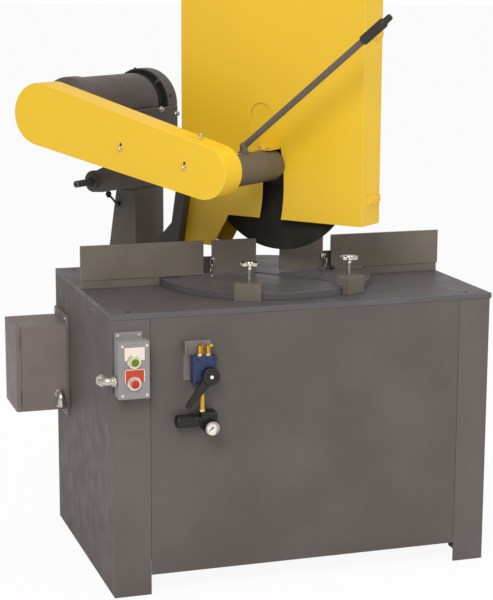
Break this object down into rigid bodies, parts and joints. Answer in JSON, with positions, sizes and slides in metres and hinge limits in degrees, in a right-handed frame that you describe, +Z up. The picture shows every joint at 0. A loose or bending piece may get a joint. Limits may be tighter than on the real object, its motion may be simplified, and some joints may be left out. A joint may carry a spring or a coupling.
{
  "type": "abrasive chop saw",
  "caption": "Mitring abrasive cut-off saw on a sheet-metal cabinet: turntable, column, belt-driven chopping head, wheel hood with door, split fence, push-button station and air controls.",
  "frame": {"origin": "middle of the bounding box, at floor level", "axes": "+X to the right along the front of the cabinet, +Y to the back, +Z up"},
  "size_m": [1.465, 1.2268, 1.9],
  "materials": {
    "grey_paint": "satin enamel, warm grey, dusty and rubbed at the edges",
    "dark_paint": "satin enamel, dark grey, oily",
    "yellow_paint": "satin safety-yellow enamel",
    "machined_steel": "turned or ground steel with light oil",
    "chrome": "bright plating",
    "black_plastic": "matt black moulding",
    "abrasive": "coarse resin-bonded grit",
    "grey_casting": "cast aluminium, grey enamel",
    "brass": "bright turned brass",
    "blue_enamel": "gloss blue enamel on a die casting",
    "green_plastic": "gloss green",
    "red_plastic": "gloss red",
    "rubber": "ribbed black rubber"
  },
  "bodies": {
    "cabinet": {"left_side": "grey_paint", "right_side": "grey_paint", "front_panel": "grey_paint", "back_panel": "grey_paint", "top_plate": "grey_paint", "bottom_shelf": "grey_paint", "fence_left": "grey_paint", "fence_right": "grey_paint", "slide_bar_left": "dark_paint", "slide_bar_right": "dark_paint", "clamp_block_left": "grey_paint", "clamp_block_right": "grey_paint", "station_box": "grey_casting", "electrical_box": "grey_paint", "contactor": "black_plastic", "air_valve": "blue_enamel", "regulator": "black_plastic"},
    "turntable": {"turntable": "grey_paint", "turntable_hub": "machined_steel", "swing_arm": "grey_paint", "column": "grey_paint", "pivot_bearing_near": "dark_paint", "pivot_bearing_far": "dark_paint", "return_spring": "machined_steel", "hood_strut": "dark_paint", "hood_shell": "yellow_paint"},
    "head": {"arm": "dark_paint", "pivot_shaft": "machined_steel", "spindle_housing": "grey_paint", "spindle_bearing_near": "machined_steel", "spindle_bearing_far": "machined_steel", "motor_plate": "dark_paint", "motor_body": "dark_paint", "fan_cover": "dark_paint", "guard_back": "yellow_paint", "guard_cover": "yellow_paint", "slot_cover": "yellow_paint", "handle_rod": "dark_paint", "handle_grip": "black_plastic", "drive_belt": "rubber"},
    "spindle": {"spindle_shaft": "machined_steel", "outer_flange": "machined_steel", "abrasive_wheel": "abrasive", "spindle_pulley": "machined_steel"},
    "rotor": {"motor_shaft": "machined_steel", "motor_pulley": "machined_steel"},
    "hood_door": {"hood_door": "yellow_paint"},
    "latch_upper": {"latch_upper": "yellow_paint"},
    "latch_lower": {"latch_lower": "yellow_paint"},
    "ball_lever": {"ball_lever": "black_plastic"},
    "sliding_fence_left": {"sliding_fence_left": "grey_paint"},
    "sliding_fence_right": {"sliding_fence_right": "grey_paint"},
    "clamp_knob_left": {"clamp_knob_left": "chrome"},
    "clamp_knob_right": {"clamp_knob_right": "chrome"},
    "start_button": {"start_button": "green_plastic"},
    "stop_button": {"stop_button": "red_plastic"},
    "electrical_door": {"electrical_door": "grey_paint"},
    "valve_lever": {"valve_lever": "black_plastic"},
    "regulator_knob": {"regulator_knob": "black_plastic"},
    "gauge_pointer": {"gauge_pointer": "brass"}
  },
  "joints": [
    {"name": "turntable_swing", "type": "hinge", "parent": "cabinet", "child": "turntable", "pos_m": [0.089, -0.02615, 0.926], "axis": [0, 0, 1], "range_deg": [-85, 5]},
    {"name": "head_chop", "type": "hinge", "parent": "turntable", "child": "head", "pos_m": [-0.23175, 0.3561, 1.247], "axis": [-0.766, -0.6428, 0], "range_deg": [-10.5, 12]},
    {"name": "spindle_spin", "type": "hinge", "parent": "head", "child": "spindle", "pos_m": [-0.02433, -0.20224, 1.31788], "axis": [-0.766, -0.6428, 0], "continuous": true},
    {"name": "rotor_spin", "type": "hinge", "parent": "head", "child": "rotor", "pos_m": [-0.36235, 0.35617, 1.482], "axis": [-0.766, -0.6428, 0], "continuous": true},
    {"name": "hood_door_swing", "type": "hinge", "parent": "turntable", "child": "hood_door", "pos_m": [-0.05303, 0.2489, 1.46], "axis": [0, 0, 1], "range_deg": [0, 100]},
    {"name": "latch_upper_lift", "type": "hinge", "parent": "turntable", "child": "latch_upper", "pos_m": [0.33625, -0.35038, 1.753], "axis": [0, 0, -1], "range_deg": [0, 110]},
    {"name": "latch_lower_lift", "type": "hinge", "parent": "turntable", "child": "latch_lower", "pos_m": [0.33625, -0.35038, 1.218], "axis": [0, 0, -1], "range_deg": [0, 110]},
    {"name": "ball_lever_turn", "type": "hinge", "parent": "turntable", "child": "ball_lever", "pos_m": [-0.33617, 0.30895, 1.148], "axis": [-0.766, -0.6428, 0], "range_deg": [-60, 60]},
    {"name": "sliding_fence_left_move", "type": "slide", "parent": "cabinet", "child": "sliding_fence_left", "axis": [1, 0, 0], "range_m": [-0.027, 0]},
    {"name": "sliding_fence_right_move", "type": "slide", "parent": "cabinet", "child": "sliding_fence_right", "axis": [-1, 0, 0], "range_m": [-0.027, 0.012]},
    {"name": "clamp_knob_left_turn", "type": "hinge", "parent": "cabinet", "child": "clamp_knob_left", "pos_m": [-0.06706, -0.34612, 1.01], "axis": [0, 0, 1], "continuous": true},
    {"name": "clamp_knob_right_turn", "type": "hinge", "parent": "cabinet", "child": "clamp_knob_right", "pos_m": [0.28289, -0.32472, 1.01], "axis": [0, 0, 1], "continuous": true},
    {"name": "start_press", "type": "slide", "parent": "cabinet", "child": "start_button", "axis": [0, 1, 0], "range_m": [0, 0.004], "stiffness_N_per_m": 900},
    {"name": "stop_press", "type": "slide", "parent": "cabinet", "child": "stop_button", "axis": [0, 1, 0], "range_m": [0, 0.004], "stiffness_N_per_m": 900},
    {"name": "electrical_door_swing", "type": "hinge", "parent": "cabinet", "child": "electrical_door", "pos_m": [-0.71265, 0.18585, 0.603], "axis": [0, 0, 1], "range_deg": [0, 100]},
    {"name": "valve_lever_turn", "type": "hinge", "parent": "cabinet", "child": "valve_lever", "pos_m": [-0.2485, -0.51615, 0.715], "axis": [0, 1, 0], "range_deg": [-50, 40]},
    {"name": "regulator_knob_turn", "type": "hinge", "parent": "cabinet", "child": "regulator_knob", "pos_m": [-0.3175, -0.49415, 0.5695], "axis": [1, 0, 0], "continuous": true},
    {"name": "gauge_pointer_turn", "type": "hinge", "parent": "cabinet", "child": "gauge_pointer", "pos_m": [-0.2465, -0.53415, 0.551], "axis": [0, 1, 0], "range_deg": [-40, 230]}
  ],
  "couplings": [
    {"joint": "rotor_spin", "follows": "spindle_spin", "ratio": 0.7879}
  ]
}
